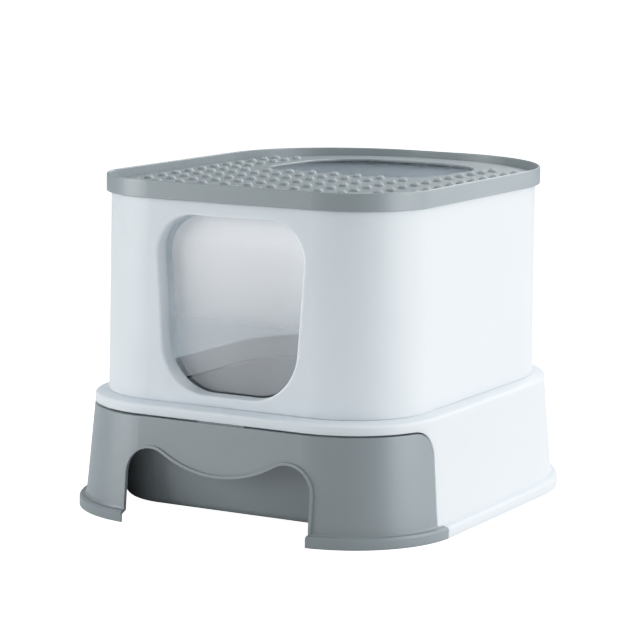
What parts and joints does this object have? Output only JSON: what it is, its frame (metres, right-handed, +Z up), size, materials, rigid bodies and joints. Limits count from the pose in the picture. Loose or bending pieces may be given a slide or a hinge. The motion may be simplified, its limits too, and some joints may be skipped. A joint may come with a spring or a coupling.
{
  "type": "hooded cat litter box",
  "caption": "Covered cat litter box with a top-entry lid, a clear swing flap in the front entry, a lift-off hood and a pull-out litter tray behind a wave-edged drawer front.",
  "frame": {"origin": "on the floor, under the middle of the bounding box", "axes": "+Z up, -Y out of the front entry, +X to the right for someone facing along +Y"},
  "size_m": [0.4428, 0.5541, 0.3673],
  "materials": {
    "white_shell": "satin-gloss white moulding",
    "grey_shell": "satin cool grey moulding",
    "grey_tray": "satin cool grey moulding",
    "rail": "slick white moulding",
    "clear_flap": "clear hazy plastic",
    "pin": "smooth dark plastic",
    "screw": "zinc plated"
  },
  "bodies": {
    "base": {"base_frame": "white_shell", "rail_left": "rail", "rail_right": "rail", "rail_screws": "screw"},
    "drawer": {"drawer_front": "grey_shell", "litter_tray": "grey_tray", "drawer_screws": "screw"},
    "hood": {"hood_shell": "white_shell"},
    "flap": {"entry_flap": "clear_flap", "flap_pin_left": "pin", "flap_pin_right": "pin"},
    "lid": {"lid": "grey_shell"}
  },
  "joints": [
    {"name": "drawer_slide", "type": "slide", "parent": "base", "child": "drawer", "axis": [0, -1, 0], "range_m": [0, 0.4]},
    {"name": "hood_lift", "type": "slide", "parent": "base", "child": "hood", "axis": [0, 0, 1], "range_m": [0, 0.3]},
    {"name": "lid_lift", "type": "slide", "parent": "hood", "child": "lid", "axis": [0, 0, 1], "range_m": [0, 0.12]},
    {"name": "flap_swing", "type": "hinge", "parent": "hood", "child": "flap", "pos_m": [0, -0.22, 0.338], "axis": [1, 0, 0], "range_deg": [-30, 75]}
  ]
}
